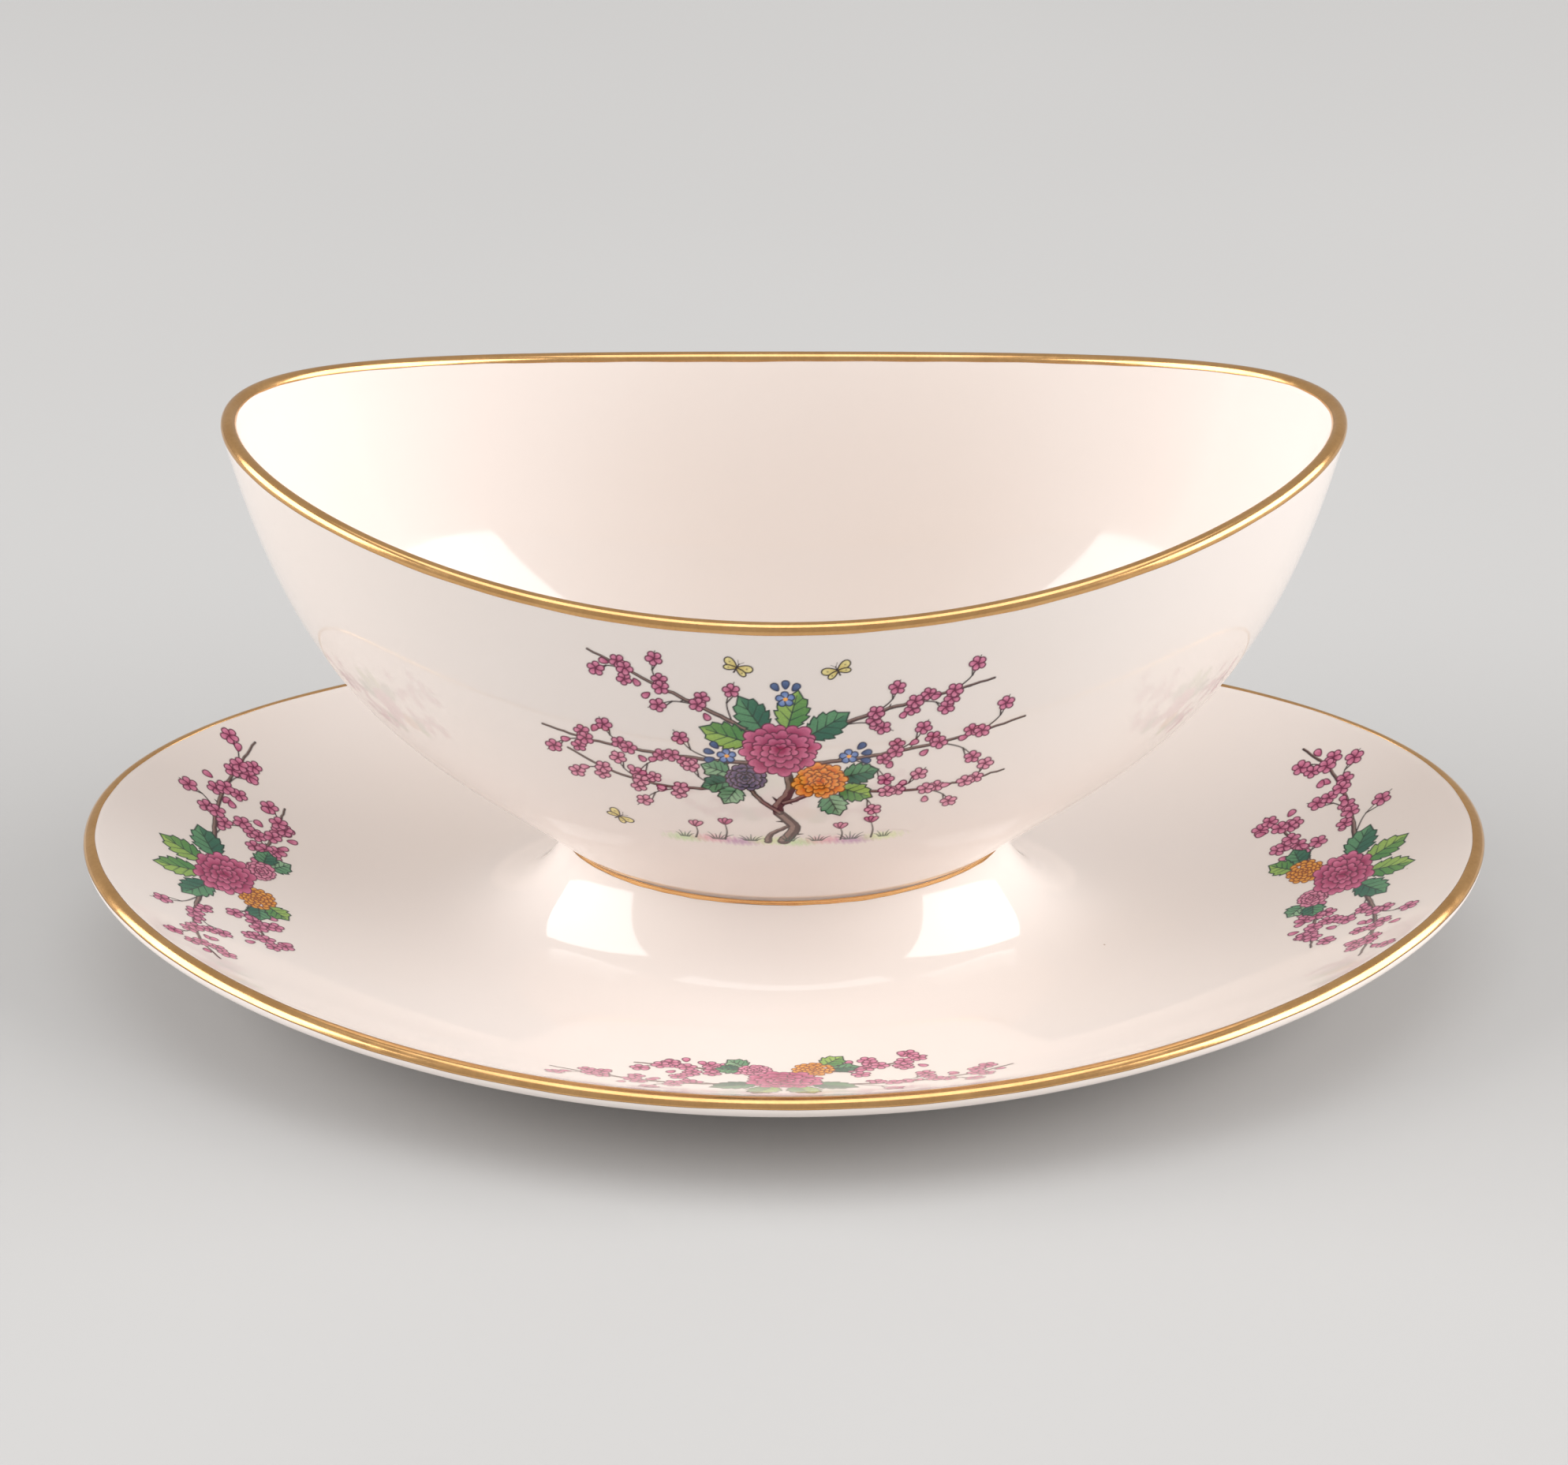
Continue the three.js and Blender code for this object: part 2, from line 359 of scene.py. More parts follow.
class Nodes:
    """A small helper around one material's node tree."""

    def __init__(self, name):
        self.material = bpy.data.materials.new(name)
        self.material.use_nodes = True
        self.tree = self.material.node_tree
        self.shader = self.tree.nodes["Principled BSDF"]

    def add(self, kind, **values):
        node = self.tree.nodes.new("ShaderNode" + kind)
        for key, value in values.items():
            if key in node.inputs:
                node.inputs[key].default_value = value
            else:
                setattr(node, key, value)
        return node

    def join(self, output, target):
        self.tree.links.new(output, target)

    def place(self):
        return self.add("TexCoord").outputs["Object"]

    def noise(self, scale, detail=3.0, roughness=0.5):
        node = self.add("TexNoise", Scale=scale, Detail=detail, Roughness=roughness)
        self.join(self.place(), node.inputs["Vector"])
        return node.outputs["Fac"]

    def ramp(self, factor, *stops):
        node = self.add("ValToRGB")
        elements = node.color_ramp.elements
        while len(elements) < len(stops):
            elements.new(0.5)
        for element, (position, colour) in zip(elements, stops):
            element.position = position
            if np.isscalar(colour):
                colour = (colour,) * 3
            element.color = (*colour, 1)
        self.join(factor, node.inputs["Fac"])
        return node.outputs["Color"]

    def mix(self, factor, a, b, blend="MIX"):
        node = self.add("Mix", data_type="RGBA", blend_type=blend)
        for value, socket in ((factor, node.inputs[0]), (a, node.inputs[6]), (b, node.inputs[7])):
            if isinstance(value, bpy.types.NodeSocket):
                self.join(value, socket)
            elif np.isscalar(value):
                socket.default_value = value
            else:
                socket.default_value = (*value, 1)
        return node.outputs[2]

    def bump(self, height, strength, distance):
        node = self.add("Bump", Strength=strength, Distance=distance)
        self.join(height, node.inputs["Height"])
        self.join(node.outputs["Normal"], self.shader.inputs["Normal"])


IVORY = (0.80, 0.728, 0.685)
IVORY_WARM = (0.79, 0.708, 0.655)
SPECK = (0.33, 0.2, 0.11)
GOLD_DEEP = (0.68, 0.378, 0.148)
GOLD_PALE = (0.80, 0.475, 0.205)


def china_colour(nodes):
    """Ivory body colour with faint warm clouding and a few tiny iron specks."""
    cloud = nodes.ramp(nodes.noise(14, 2), (0.35, IVORY), (0.7, IVORY_WARM))
    cells = nodes.add("TexVoronoi", Scale=120.0)
    nodes.join(nodes.place(), cells.inputs["Vector"])
    dot = nodes.ramp(cells.outputs["Distance"], (0.012, 1.0), (0.032, 0.0))
    chosen = nodes.ramp(nodes.noise(31, 0), (0.64, 0.0), (0.66, 0.6))
    return nodes.mix(nodes.mix(dot, (0, 0, 0), chosen), cloud, SPECK)


def glaze(nodes, colour):
    """Clear glossy glaze: a slightly wavy surface with faint handling haze."""
    nodes.join(colour, nodes.shader.inputs["Base Color"])
    haze = nodes.ramp(nodes.noise(60, 4), (0.3, 0.045), (0.8, 0.09))
    nodes.join(haze, nodes.shader.inputs["Roughness"])
    nodes.shader.inputs["IOR"].default_value = 1.54
    nodes.bump(nodes.noise(45, 1), 0.35, 0.00006)
    return nodes.material


def china_material():
    nodes = Nodes("glazed_china")
    return glaze(nodes, china_colour(nodes))


def biscuit_material():
    """The foot ring's ground face, where the glaze was wiped off."""
    nodes = Nodes("ground_biscuit")
    grain = nodes.noise(900, 6, 0.7)
    colour = nodes.ramp(grain, (0.35, (0.55, 0.48, 0.41)), (0.65, (0.74, 0.68, 0.6)))
    nodes.join(colour, nodes.shader.inputs["Base Color"])
    nodes.shader.inputs["Roughness"].default_value = 0.8
    nodes.bump(grain, 0.4, 0.0001)
    return nodes.material


def slip_material():
    nodes = Nodes("fired_slip")
    grain = nodes.noise(500, 5, 0.6)
    colour = nodes.ramp(grain, (0.35, (0.66, 0.6, 0.53)), (0.65, (0.76, 0.7, 0.62)))
    nodes.join(colour, nodes.shader.inputs["Base Color"])
    nodes.shader.inputs["Roughness"].default_value = 0.6
    return nodes.material


def gold_material():
    """Burnished gold: deeper and paler patches, fine grain and an uneven polish."""
    nodes = Nodes("burnished_gold")
    tone = nodes.ramp(nodes.noise(90, 4, 0.6), (0.3, GOLD_DEEP), (0.7, GOLD_PALE))
    fine = nodes.ramp(nodes.noise(1500, 3), (0.35, 0.94), (0.6, 1.0))
    nodes.join(nodes.mix(1.0, tone, fine, "MULTIPLY"), nodes.shader.inputs["Base Color"])
    nodes.shader.inputs["Metallic"].default_value = 1.0
    matt = nodes.ramp(nodes.noise(260, 4, 0.6), (0.3, 0.14), (0.75, 0.25))
    nodes.join(matt, nodes.shader.inputs["Roughness"])
    nodes.bump(nodes.noise(700, 2), 0.1, 0.00003)
    return nodes.material


# --------------------------------------------------------------------- enamel painting

PITCH = 0.13  # mm between painted points
LIFT = 0.02  # mm that the enamel stands off the glaze
RNG = np.random.default_rng(11)


def srgb(*levels):
    """A linear colour from everyday 0-255 levels."""
    x = np.array(levels) / 255
    return np.where(x <= 0.04045, x / 12.92, ((x + 0.055) / 1.055) ** 2.4)


INK = srgb(44, 28, 28)
WINE = srgb(96, 24, 58)
UMBER = srgb(128, 62, 22)
FOREST = srgb(34, 60, 48)
NAVY = srgb(40, 50, 80)
# Two-tone enamels: the deep tone at a petal's root and the pale one at its edge.
PINK = (srgb(176, 66, 110), srgb(218, 138, 166))
BLUSH = (srgb(200, 104, 138), srgb(226, 158, 178))
ROSE = (srgb(152, 34, 84), srgb(214, 116, 152))
GOLDEN = (srgb(214, 96, 14), srgb(246, 172, 84))
AMBER = (srgb(206, 122, 26), srgb(240, 178, 76))
GREEN = (srgb(40, 96, 76), srgb(98, 152, 106))
LIME = (srgb(78, 134, 70), srgb(162, 190, 92))
SAGE = (srgb(92, 142, 104), srgb(150, 184, 146))
BLUE = (srgb(44, 64, 108), srgb(88, 112, 156))
SKY = (srgb(92, 118, 176), srgb(150, 172, 212))
BARK = (srgb(86, 60, 58), srgb(150, 122, 112))
YELLOW = (srgb(196, 172, 92), srgb(234, 220, 152))


def blend(a, b, t):
    return a + (b - a) * np.clip(t, 0, 1)[..., None]


def glow(centre, reach, pair, start=0.0):
    """A colour that turns from deep to pale with distance from a point."""
    return lambda p: blend(*pair, (np.linalg.norm(p - centre, axis=-1) / reach - start) / (1 - start))


def heading(turn):
    return np.array([math.cos(turn), math.sin(turn)])


def curve(points):
    """A smooth line through the points."""
    points = np.asarray(points, float)
    ends = 2 * points[0] - points[1], 2 * points[-1] - points[-2]
    knots = np.vstack([ends[0], points, ends[1]])
    out = []
    for a, b, c, d in zip(knots, knots[1:], knots[2:], knots[3:]):
        for t in np.arange(6) / 6:
            bend = (2 * a - 5 * b + 4 * c - d) * t * t + (3 * b - a - 3 * c + d) * t**3
            out.append(b + ((c - a) * t + bend) / 2)
    return np.array(out + [points[-1]])


def egg(root, turn, reach, width):
    """A petal: narrow at its root, round and wide at its far end."""
    t = np.linspace(0, 2 * math.pi, 16, endpoint=False)
    along = reach * (0.5 - 0.5 * np.cos(t))
    across = width / 2 * np.sin(t) * (0.82 - 0.3 * np.cos(t))
    d = heading(turn)
    return np.array(root) + np.outer(along, d) + np.outer(across, (-d[1], d[0]))


def frill(turn, reach, spread, lobes):
    """A fan-shaped petal with a scalloped edge, rooted at zero."""
    t = np.linspace(-1, 1, 6 * lobes + 1)
    scallop = np.abs(np.sin(lobes * math.pi * (t + 1) / 2)) ** 0.7
    r = reach * (1 - 0.24 * t * t) * (0.79 + 0.21 * scallop)
    a = turn + t * spread
    fan = np.stack([r * np.cos(a), r * np.sin(a)], -1)
    return np.vstack([[0, 0], fan])


def edge_distance(points, shape):
    """Distance to a closed outline, negative inside it."""
    near = np.full(points.shape[:2], 1e9)
    inside = np.zeros(points.shape[:2], bool)
    x, y = points[..., 0], points[..., 1]
    for a, b in zip(shape, np.roll(shape, -1, 0)):
        ab = b - a
        t = np.clip(((points - a) @ ab) / max(ab @ ab, 1e-12), 0, 1)
        near = np.minimum(near, np.linalg.norm(points - a - t[..., None] * ab, axis=-1))
        if a[1] != b[1]:
            inside ^= ((a[1] > y) != (b[1] > y)) & (x < ab[0] * (y - a[1]) / ab[1] + a[0])
    return np.where(inside, -near, near)


class Canvas:
    """Enamel colour and cover painted over a grid, in millimetres."""

    def __init__(self, left, right, bottom, top):
        self.u = np.arange(left, right, PITCH)
        self.v = np.arange(bottom, top, PITCH)
        self.colour = np.zeros((len(self.v), len(self.u), 3))
        self.cover = np.zeros((len(self.v), len(self.u)))

    def window(self, shape, margin):
        low, high = shape.min(0) - margin, shape.max(0) + margin
        i = slice(*np.searchsorted(self.u, (low[0], high[0])))
        j = slice(*np.searchsorted(self.v, (low[1], high[1])))
        return (j, i), np.stack(np.meshgrid(self.u[i], self.v[j]), -1)

    def lay(self, area, cover, colour):
        under = self.cover[area] * (1 - cover)
        total = cover + under
        mixed = colour * cover[..., None] + self.colour[area] * under[..., None]
        self.colour[area] = mixed / np.maximum(total, 1e-6)[..., None]
        self.cover[area] = total

    def fill(self, shape, tone, line=INK, width=0.24):
        area, points = self.window(shape, 0.4)
        away = edge_distance(points, shape)
        colour = tone(points) if callable(tone) else np.broadcast_to(tone, points.shape)
        self.lay(area, np.clip(0.5 - away / PITCH, 0, 1), colour)
        if width:
            self.lay(area, np.clip(0.5 + (width / 2 - np.abs(away)) / PITCH, 0, 1), line)

    def stroke(self, path, wide, thin, colour, solid=1.0):
        path = np.asarray(path, float)
        area, points = self.window(path, wide / 2 + 0.3)
        gap = np.full(points.shape[:2], 1e9)
        half = np.linspace(wide, thin, len(path)) / 2
        for a, b, start, end in zip(path, path[1:], half, half[1:]):
            ab = b - a
            t = np.clip(((points - a) @ ab) / max(ab @ ab, 1e-12), 0, 1)
            away = np.linalg.norm(points - a - t[..., None] * ab, axis=-1)
            gap = np.minimum(gap, away - start - (end - start) * t)
        self.lay(area, np.clip(0.5 - gap / PITCH, 0, 1) * solid, colour)

    def wash(self, centre, across, high, colour, solid):
        """A soft blot of thin colour with a ragged edge."""
        box = np.array([[-across, -high], [across, high]]) * 1.2 + centre
        area, points = self.window(box, 0)
        p = (points - centre) / (across, high)
        ragged = 0.12 * np.sin(points[..., 0] * 5.3)
        ragged = ragged + 0.1 * np.sin(points[..., 0] * 9.1 + points[..., 1] * 3)
        self.lay(area, solid * np.clip(1.3 - 1.3 * np.linalg.norm(p, axis=-1) + ragged, 0, 1), colour)

    def branch(self, points, wide, thin=0.12, stubs=0):
        """A crooked branch: dark outline, brown bark with a pale side, and broken stubs."""
        path = curve(points)
        path[1:-1] += RNG.normal(0, 0.05 + 0.02 * wide, path[1:-1].shape)
        if wide < 0.4:
            self.stroke(path, wide, thin, INK, 0.92)
            return
        for place in np.linspace(0.15, 0.85, stubs):
            k = int(place * (len(path) - 2))
            along = path[k + 1] - path[k]
            side = np.array([-along[1], along[0]]) * (-1) ** k / np.linalg.norm(along)
            tip = path[k] + (side + unit(along) * 0.6) * wide * 0.85
            self.stroke([path[k], tip], wide * 0.5, 0.15, INK)
        self.stroke(path, wide + 0.14, thin + 0.14, INK)
        self.stroke(path, wide - 0.2, max(thin - 0.2, 0.08), BARK[0])
        pale = path + np.array([-0.16, 0.14]) * wide
        self.stroke(pale, wide * 0.42, max(thin * 0.4, 0.08), BARK[1], 0.75)
        for k in range(2, len(path) - 2, 3):
            along = unit(path[k + 1] - path[k])
            start = path[k] + np.array([-along[1], along[0]]) * wide * RNG.uniform(-0.4, 0.3)
            self.stroke([start, start + along * wide * 0.7], 0.12, 0.06, INK, 0.7)

    def twig(self, *points, wide=0.34):
        self.stroke(curve(points), wide, 0.18, INK, 0.95)

    def blossom(self, x, y, size, turn, pair, line=WINE):
        """A five-petalled flower seen face on."""
        centre = np.array([x, y])
        apart = 2 * math.pi / 5
        for k in range(5):
            petal = egg((0, 0), turn + k * apart, size * 0.52, size * 0.46)
            self.fill(petal + centre, glow(centre, size * 0.5, pair), line)
        for k in range(5):
            ray = heading(turn + (k + 0.3) * apart) * size
            self.stroke([centre + ray * 0.05, centre + ray * 0.17], 0.12, 0.08, WINE, 0.85)
        self.stroke([centre, centre + (0.02, 0)], 0.4, 0.4, WINE, 0.85)

    def cluster(self, x, y, count, size, pair):
        """Overlapping blossoms round a point, with loose petals beside all but a single one."""
        for k in range(count - 1):
            turn = 2.4 * k + 0.7 * x + y
            away = size * (0.75 + 0.3 * math.sqrt(count))
            self.petal(x + away * math.cos(turn), y + away * math.sin(turn) * 0.85, size * 0.58, turn, pair)
        for k in reversed(range(count)):
            turn = 2.4 * k + x
            away = size * 0.66 * math.sqrt(k)
            spot = x + away * math.cos(turn), y + away * math.sin(turn) * 0.85
            self.blossom(*spot, size * (1 - 0.05 * k), turn, pair)

    def petal(self, x, y, size, turn, pair=PINK, line=WINE):
        root = np.array([x, y]) - heading(turn) * size / 2
        self.fill(egg(root, turn, size, size * 0.82), glow(root, size, pair), line)

    def peony(self, x, y, across, high, rings, pair, line, lobes=3, spin=0.2):
        """Rings of scalloped petals, laid from the outside in."""
        stretch = np.array([across, high]) / 2
        for number, (count, root, reach) in enumerate(rings):
            turns = spin + number * 0.37 + np.arange(count) * 2 * math.pi / count
            for turn in sorted(turns, key=lambda t: -math.sin(t)):
                turn += RNG.normal(0, 0.09)
                long = reach * RNG.uniform(0.9, 1.08)
                start = np.array([x, y]) + heading(turn) * root * stretch
                spread = math.asin(min(0.97, 1.3 * math.pi * (root + reach) / count / reach))
                shape = frill(turn, long, spread, lobes) * stretch + start
                self.fill(shape, glow(start, long * stretch.mean(), pair, 0.4), line, 0.22)

    def leaf(self, base, tip, width, pair, teeth):
        """A toothed leaf with its two halves in different tones and dark veins."""
        base, tip = np.array(base, float), np.array(tip, float)
        length = np.linalg.norm(tip - base)
        along = (tip - base) / length
        side = np.array([-along[1], along[0]])

        def reach(t):
            return width / 2 * math.sin(math.pi * t**0.8) ** 0.75

        edge = []
        for k in range(teeth):
            low, high = (k + 0.08) / teeth, (k + 0.92) / teeth
            if k < teeth - 1:
                edge += [(low, reach(low) * 0.84), ((low + high) / 2, reach((low + high) / 2) * 0.98)]
                edge.append((high + 0.02, reach(min(high, 0.97)) * 1.06 + 0.08))
            else:
                edge.append((low, reach(low) * 0.8))
        outline = [(0, 0)] + edge + [(1, 0)] + [(t, -w) for t, w in edge[::-1]]
        shape = np.array([base + along * length * t + side * w for t, w in outline])

        def tone(p):
            t = (p - base) @ along / length
            s = (p - base) @ side
            return blend(*pair, 0.2 + 0.4 * t + 0.32 * np.tanh(4 * s))

        self.fill(shape, tone, FOREST, 0.27)
        self.stroke([base, base + along * length * 0.86], 0.32, 0.16, FOREST, 0.95)
        for t in (0.22, 0.42, 0.62):
            for sign in (1, -1):
                start = base + along * length * t
                end = base + along * length * (t + 0.2) + side * sign * reach(t + 0.2) * 0.72
                self.stroke([start, end], 0.24, 0.12, FOREST, 0.9)

    def grass(self, x, y, blades, size):
        for k in range(blades):
            lean = heading(math.pi / 2 - (k - (blades - 1) / 2) * 0.34)
            start = np.array([x + (k - (blades - 1) / 2) * 0.3, y])
            tip = start + lean * size * (1 if k % 2 else 0.72)
            bend = (start + tip) / 2 + (0, 0.12 * size)
            self.stroke(curve([start, bend, tip]), 0.34, 0.1, FOREST, 0.85)

    def butterfly(self, x, y, size, turn, wings):
        """Wings are given as (turn, reach, width) round the body."""
        centre = np.array([x, y])
        for lean, reach, width in wings:
            shape = egg(centre, turn + lean, reach * size, width * size)
            self.fill(shape, glow(centre, reach * size, YELLOW), INK)
            spot = centre + heading(turn + lean) * reach * size * 0.62
            self.stroke([spot, spot + (0.02, 0)], 0.3, 0.3, INK, 0.6)
        body = heading(turn)
        self.stroke([centre - body * 0.35 * size, centre + body * 0.35 * size], 0.32, 0.2, INK)
        for lean in (0.35, -0.35):
            feeler = centre + heading(turn + lean) * 0.62 * size
            self.stroke([centre + body * 0.3 * size, feeler], 0.12, 0.08, INK)


# Ring tables for the many-petalled flowers: petals, root radius and petal reach.
PEONY_RINGS = ((8, 0.46, 0.56), (7, 0.2, 0.56), (5, 0.06, 0.42), (3, 0.0, 0.28))
POMPON_RINGS = ((14, 0.68, 0.32), (12, 0.46, 0.34), (9, 0.26, 0.32), (6, 0.08, 0.3), (3, 0.0, 0.18))


# A butterfly's wings as turn, reach and width round its body.
WINGS = ((-1.2, 1.0, 0.62), (-1.95, 0.8, 0.42), (1.2, 1.0, 0.62), (1.95, 0.8, 0.42))
BOUGH_STEPS = 5
LEAF_FAN = 0.72  # radians between neighbouring leaves
GROWTH = np.random.default_rng(5)  # how the boughs wander, apart from the bark's draws


def bough(c, start, turn, length, wide, bend):
    """Grows a bough with twigs on alternate sides, and returns the spots where it flowers."""
    points, spots = [np.array(start, float)], []
    for k in range(BOUGH_STEPS):
        turn += bend / BOUGH_STEPS + GROWTH.normal(0, 0.06)
        points.append(points[-1] + heading(turn) * length / BOUGH_STEPS)
    for k in range(1, BOUGH_STEPS):
        lean = turn - bend * (1 - k / BOUGH_STEPS) + (-1) ** k * GROWTH.uniform(0.6, 0.9)
        reach = length * (0.32 - 0.03 * k) * GROWTH.uniform(0.85, 1.15)
        tip = points[k] + heading(lean) * reach
        middle = points[k] + heading(lean - 0.25 * (-1) ** k) * reach * 0.5
        c.twig(points[k], middle, tip)
        c.twig(middle, middle + heading(lean + 0.6 * (-1) ** k) * reach * 0.34)
        spots.append((*(middle + (tip - middle) * 0.6), 1))
        if k > 1:
            spots.append((*points[k], int(GROWTH.integers(2, 4))))
    c.branch(points, wide, 0.3, BOUGH_STEPS - 2)
    return spots


# A many-petalled flower of a posy, with the two-tone enamel of each leaf in its fan.
Flower = namedtuple("Flower", "x y across high rings pair line lobes leaves")


def posy(c, middle, flowers):
    """Many-petalled flowers, each over a fan of leaves that points away from the posy's middle."""
    for f in flowers:
        out = math.atan2(f.y - middle[1], f.x - middle[0])
        half = np.array([f.across, f.high]) / 2
        for k, tint in enumerate(f.leaves):
            way = heading(out + LEAF_FAN * (k - (len(f.leaves) - 1) / 2))
            base, tip = way * half * 0.8, way * (half + 0.42 * f.across + 1.2)
            teeth = 5 if f.across > 9 else 4
            c.leaf(base + (f.x, f.y), tip + (f.x, f.y), 3.2 + 0.16 * f.across, tint, teeth)
    for f in flowers:
        c.peony(f.x, f.y, f.across, f.high, f.rings, f.pair, f.line, f.lobes, spin=0.3 + 0.1 * f.x)


def mirrored(side, turn):
    """A heading to the right, or the same one turned to the left."""
    return turn if side > 0 else math.pi - turn


def garden():
    """The bowl's transfer: a small tree with flowering boughs spread evenly to both sides
    of a posy, over a flowery bank. Across is along the bowl and up is along its wall, from
    the waist."""
    middle, ground = (0, 46), 26.6
    c = Canvas(-40, 40, 22.5, 69.5)
    tints = srgb(184, 214, 150), srgb(222, 150, 166), srgb(176, 118, 168), srgb(206, 220, 150)
    for k, tint in enumerate(tints * 2):
        c.wash(np.array([4.6 * (k - 3.5), 26.2 + 0.5 * (k % 2)]), 4.4, 1.7, tint, 0.7)
    c.branch([(0, ground), (1.6, 31), (-1, 36), (1, 41), (0, 47)], 2.1, 1.3, 4)
    c.branch([(-2.6, 26.4), (-2.2, 28.6), (0.6, 31.2)], 1.2, 0.7)
    c.branch([(-0.6, 35), (-4, 38.6), (-6, 42)], 0.9, 0.7, 1)
    c.branch([(0, 37.6), (3.4, 39.4), (5, 43)], 0.9, 0.7, 1)
    spots = []
    for side in (1, -1):
        for out, rise, turn, length, wide, bend, pair in (
            (3, 52, 0.62, 32, 0.9, -0.4, PINK),
            (4, 47, 0.12, 35, 0.85, 0.3, PINK),
            (4, 42, -0.34, 32, 0.7, 0.6, BLUSH),
        ):
            lean = mirrored(side, turn)
            grown = bough(c, (side * out, rise), lean, length, wide, side * bend)
            spots += [(x, y, count, pair) for x, y, count in grown]
    for x, y, count, pair in spots:
        c.cluster(x, y, count, 2.7, pair)
    violet = NAVY, srgb(150, 120, 150)
    posy(c, middle, (
        Flower(-6.2, 43.6, 7.0, 6.6, PEONY_RINGS, violet, INK, 2, (SAGE, GREEN, SAGE)),
        Flower(5.8, 42.8, 9.2, 8.8, PEONY_RINGS, GOLDEN, UMBER, 3, (SAGE, LIME, GREEN)),
        Flower(-0.6, 50.0, 13.6, 11.6, PEONY_RINGS, ROSE, WINE, 3, (GREEN, LIME, GREEN, LIME)),
    ))
    for x, y in ((-9.2, 48.4), (10.4, 48.2), (0.2, 60.6)):
        c.blossom(x, y, 3.0, 0.4, (SKY[1], SKY[0]), NAVY)
        c.stroke([(x, y), (x + 0.05, y)], 0.7, 0.7, GOLDEN[1])
        for k in range(3):
            turn = math.atan2(y - middle[1], x) + 0.6 * (k - 1)
            c.petal(*(np.array([x, y]) + heading(turn) * 2.9), 1.7, turn, BLUE, NAVY)
    for k in range(7):
        beside_trunk = 0.9 if k == 3 else 0
        c.grass(5.4 * (k - 3) + beside_trunk, ground, 5 + k % 3, 2.0 + 0.4 * (k % 2))
    for x, top, pair in ((-14.4, 30.4, BLUSH), (-9.6, 31.6, PINK), (9.2, 30.4, BLUSH), (14.2, 31.6, PINK)):
        c.twig((x, ground), (x + 0.3, (top + ground) / 2), (x, top), wide=0.4)
        for lean in (2.1, 1.57, 1.0):
            c.fill(egg((x, top - 0.3), lean, 1.9, 1.0), glow((x, top), 1.9, pair), WINE)
    for x, y, turn in ((-7.5, 66.6, 1.1), (8.5, 66, 2.0), (-27, 30, 0.8)):
        c.butterfly(x, y, 2.6, turn, WINGS)
    return c


def spray():
    """The underplate's transfer: boughs to both sides of a posy.
    Across is along the rim and up is outward, from the largest flower."""
    c = Canvas(-41, 41, -16, 13)
    spots = []
    for side in (1, -1):
        for out, rise, turn, length, wide, bend in (
            (4, 2, 0.34, 35, 0.95, -0.7),
            (3, -4, -0.1, 22, 0.8, -0.2),
        ):
            spots += bough(c, (side * out, rise), mirrored(side, turn), length, wide, side * bend)
    for x, y, count in spots:
        c.cluster(x, y, count, 3.2, PINK)
    posy(c, (0, -3), (
        Flower(-4.8, -5.8, 7.2, 6.6, POMPON_RINGS, AMBER, UMBER, 1, (GREEN, LIME)),
        Flower(4.8, -5.4, 6.0, 5.6, PEONY_RINGS, BLUSH, WINE, 2, (SAGE, GREEN)),
        Flower(0, 0.4, 13.6, 10.8, PEONY_RINGS, ROSE, WINE, 3, (GREEN, LIME, LIME, GREEN)),
    ))
    return c


def draped(name, canvas, place, material):
    """A thin enamel sheet: the painted points of a canvas laid over a surface."""
    wanted = canvas.cover > 0.02
    near = wanted.copy()
    near[1:] |= wanted[:-1]
    near[:-1] |= wanted[1:]
    near[:, 1:] |= near[:, :-1].copy()
    near[:, :-1] |= near[:, 1:].copy()
    number = np.full(near.shape, -1)
    number[near] = np.arange(near.sum())
    U, V = np.meshgrid(canvas.u, canvas.v)
    points, normals = place(U[near], V[near])
    quads = np.stack([number[:-1, :-1], number[:-1, 1:], number[1:, 1:], number[1:, :-1]], -1)
    quads = quads[(quads >= 0).all(-1)]
    sheet = new_object(name, points + normals * LIFT, quads.tolist())
    flipped = np.cross(points[quads[0][1]] - points[quads[0][0]], points[quads[0][2]] - points[quads[0][0]])
    if flipped @ normals[quads[0][0]] < 0:
        sheet.data.flip_normals()
    sheet.data.normals_split_custom_set_from_vertices(normals.tolist())
    paint = sheet.data.attributes.new("enamel", "FLOAT_COLOR", "POINT")
    values = np.concatenate([canvas.colour[near], canvas.cover[near][:, None]], -1)
    paint.data.foreach_set("color", values.ravel())
    sheet.data.materials.append(material)
    return sheet


def on_bowl(turned):
    """Places a transfer on the bowl's long side, or half a turn round on the other."""
    s = np.linspace(0, 1, 1201)
    profile = bowl_outer(s, np.full_like(s, -math.pi / 2))
    length = np.concatenate([[0], np.cumsum(np.linalg.norm(np.diff(profile, axis=0), axis=1))])
    flip = np.array([-1, -1, 1]) if turned else np.ones(3)

    def place(u, v):
        height = np.interp(v, length, s)
        reach = bowl_outer(height, 0.0)[..., 0]
        points, normals, _ = frame_on(bowl_outer, height, -np.arccos(np.clip(u / reach, -1, 1)))
        return points * flip, normals * flip

    return place


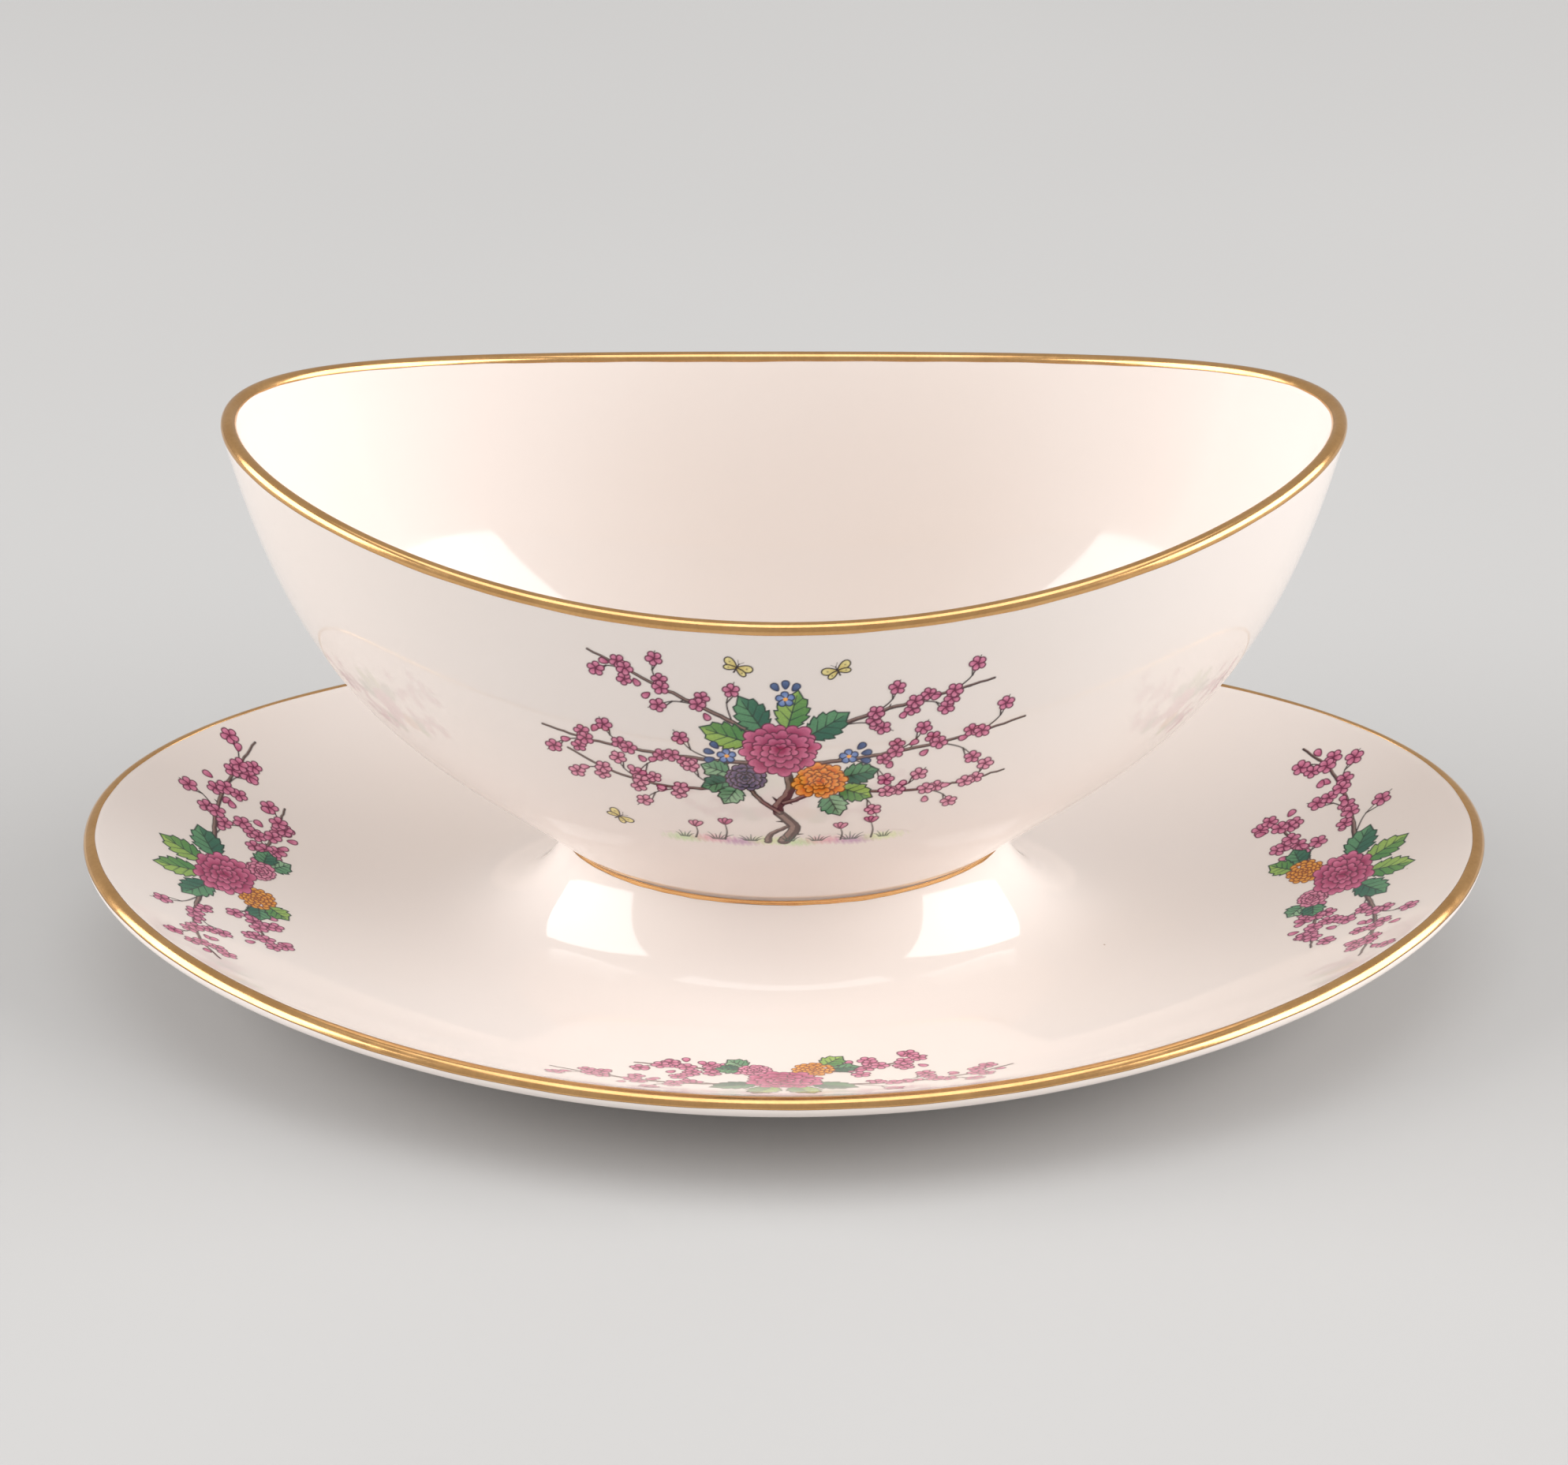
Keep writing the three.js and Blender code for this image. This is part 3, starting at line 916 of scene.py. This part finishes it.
def on_plate(outward, distance):
    """Places a transfer on the underplate with its largest flower this far from the middle."""
    outward = np.array(outward, float)
    along = np.array([outward[1], -outward[0]])

    def place(u, v):
        plan = np.outer(distance + v, outward) + np.outer(u, along)
        low, high = np.zeros(len(u)) - 0.04, np.ones(len(u)) * 1.4
        for _ in range(40):
            s = (low + high) / 2
            reach = plate_top(s, 0.0)[..., 0]
            c = np.clip(plan[:, 0] / reach, -1, 1)
            y = plate_top(s, math.pi / 2)[..., 1] * np.sqrt(1 - c * c) * (1 - PINCH * c * c)
            beyond = y > np.abs(plan[:, 1])
            low, high = np.where(beyond, s, low), np.where(beyond, high, s)
        angle = np.arctan2(np.sign(plan[:, 1]) * np.sqrt(1 - c * c), c)
        points, normals, _ = frame_on(plate_top, s, angle)
        return points, normals

    return place


def enamel_material():
    """Fired enamel over the glaze: painted colour where there is cover, china elsewhere."""
    nodes = Nodes("fired_enamel")
    paint = nodes.add("Attribute", attribute_name="enamel")
    grain = nodes.ramp(nodes.noise(2600, 2), (0.35, 0.9), (0.65, 1.06))
    colour = nodes.mix(1.0, paint.outputs["Color"], grain, "MULTIPLY")
    return glaze(nodes, nodes.mix(paint.outputs["Alpha"], china_colour(nodes), colour))


# -------------------------------------------------------------------------- the pieces

CHINA = china_material()
GOLD = gold_material()


def dress(piece, material, slot, *nodes):
    piece.data.materials.append(material)
    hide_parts(*nodes)
    return piece


def mark_foot(piece):
    """Gives the ring that stands on the table its unglazed finish."""
    piece.data.materials.append(biscuit_material())
    for face in piece.data.polygons:
        if face.center.z < 0.02 * MM:
            face.material_index = 1


bowl = dress(sweep("bowl_china", bowl_rows()), CHINA, "china", "bowl")
underplate = dress(sweep("underplate_china", underplate_rows()), CHINA, "china", "underplate")
mark_foot(underplate)
dress(sweep("bowl_rim_gilding", bowl_rim_gold_rows()), GOLD, "gold", "bowl_rim_gold")
dress(sweep("neck_gilding", neck_gold_rows()), GOLD, "gold", "neck_gold")
dress(sweep("underplate_rim_gilding", plate_rim_gold_rows()), GOLD, "gold", "underplate_rim_gold")
for piece in (bowl, underplate):
    piece.data.set_sharp_from_angle(angle=math.radians(50))
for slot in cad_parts["slip_joint"].material_slots:
    slot.material = slip_material()

ENAMEL = enamel_material()
GARDEN, SPRAY = garden(), spray()
# How far from the middle the underplate's transfers lie, at its ends and at its sides.
END_REACH, SIDE_REACH = 0.82 * PLATE_RIM[0], 0.76 * PLATE_RIM[1]
draped("enamel_garden_front", GARDEN, on_bowl(False), ENAMEL)
draped("enamel_garden_back", GARDEN, on_bowl(True), ENAMEL)
for side, outward, reach in (
    ("left", (-1, 0), END_REACH),
    ("right", (1, 0), END_REACH),
    ("front", (0, -1), SIDE_REACH),
    ("back", (0, 1), SIDE_REACH),
):
    draped("enamel_spray_" + side, SPRAY, on_plate(outward, reach), ENAMEL)

# ----------------------------------------------------------------- floor, light, camera


FLOOR_SIZE = 12  # metres


def floor():
    bpy.ops.mesh.primitive_plane_add(size=FLOOR_SIZE)
    plane = bpy.context.object
    plane.name = "floor"
    nodes = Nodes("pale_floor")
    tone = nodes.ramp(nodes.noise(3, 2), (0.3, (0.47, 0.465, 0.46)), (0.7, (0.49, 0.485, 0.48)))
    nodes.join(tone, nodes.shader.inputs["Base Color"])
    nodes.shader.inputs["Roughness"].default_value = 0.7
    plane.data.materials.append(nodes.material)


def softbox(name, azimuth, elevation, distance, width, height, power):
    """A rectangular lamp aimed at the object. Azimuth 0 is the camera's side."""
    light = bpy.data.lights.new(name, "AREA")
    light.shape = "RECTANGLE"
    light.size, light.size_y = width, height
    light.energy = power
    lamp = bpy.data.objects.new(name, light)
    bpy.context.scene.collection.objects.link(lamp)
    a, e = math.radians(azimuth), math.radians(elevation)
    away = np.array([math.sin(a) * math.cos(e), -math.cos(a) * math.cos(e), math.sin(e)])
    aim = np.array([0, 0, 0.05])
    lamp.location = aim + away * distance
    lamp.rotation_euler = (math.pi / 2 - e, 0, a)


def studio():
    softbox("softbox_left", -84, 24, distance=2.75, width=2.375, height=2.125, power=72)
    softbox("softbox_right", 80, 24, distance=2.75, width=2.625, height=2.125, power=84)
    softbox("overhead", 0, 80, distance=1.4, width=1.2, height=0.9, power=6)
    world = bpy.data.worlds.new("studio")
    world.use_nodes = True
    world.node_tree.nodes["Background"].inputs["Color"].default_value = (1.0, 0.98, 0.96, 1)
    world.node_tree.nodes["Background"].inputs["Strength"].default_value = 0.5
    bpy.context.scene.world = world
    bpy.context.scene.view_settings.view_transform = "Standard"


CAMERA_ELEVATION = 27.588  # degrees
CAMERA_DISTANCE = 0.8  # metres
CAMERA_LENS = 106.81  # mm
CAMERA_AIM = 0.41  # share of the object's height


def camera():
    """The photograph's viewing angle: straight on to the long side, from above."""
    elevation = math.radians(CAMERA_ELEVATION)
    data = bpy.data.cameras.new("camera")
    data.sensor_width = 36
    data.lens = CAMERA_LENS
    eye = bpy.data.objects.new("camera", data)
    bpy.context.scene.collection.objects.link(eye)
    target = np.array([0, 0, CAMERA_AIM * cad_box[1].z])
    eye.location = target + CAMERA_DISTANCE * np.array([0, -math.cos(elevation), math.sin(elevation)])
    eye.rotation_euler = (math.pi / 2 - elevation, 0, 0)
    bpy.context.scene.camera = eye


floor()
studio()
camera()
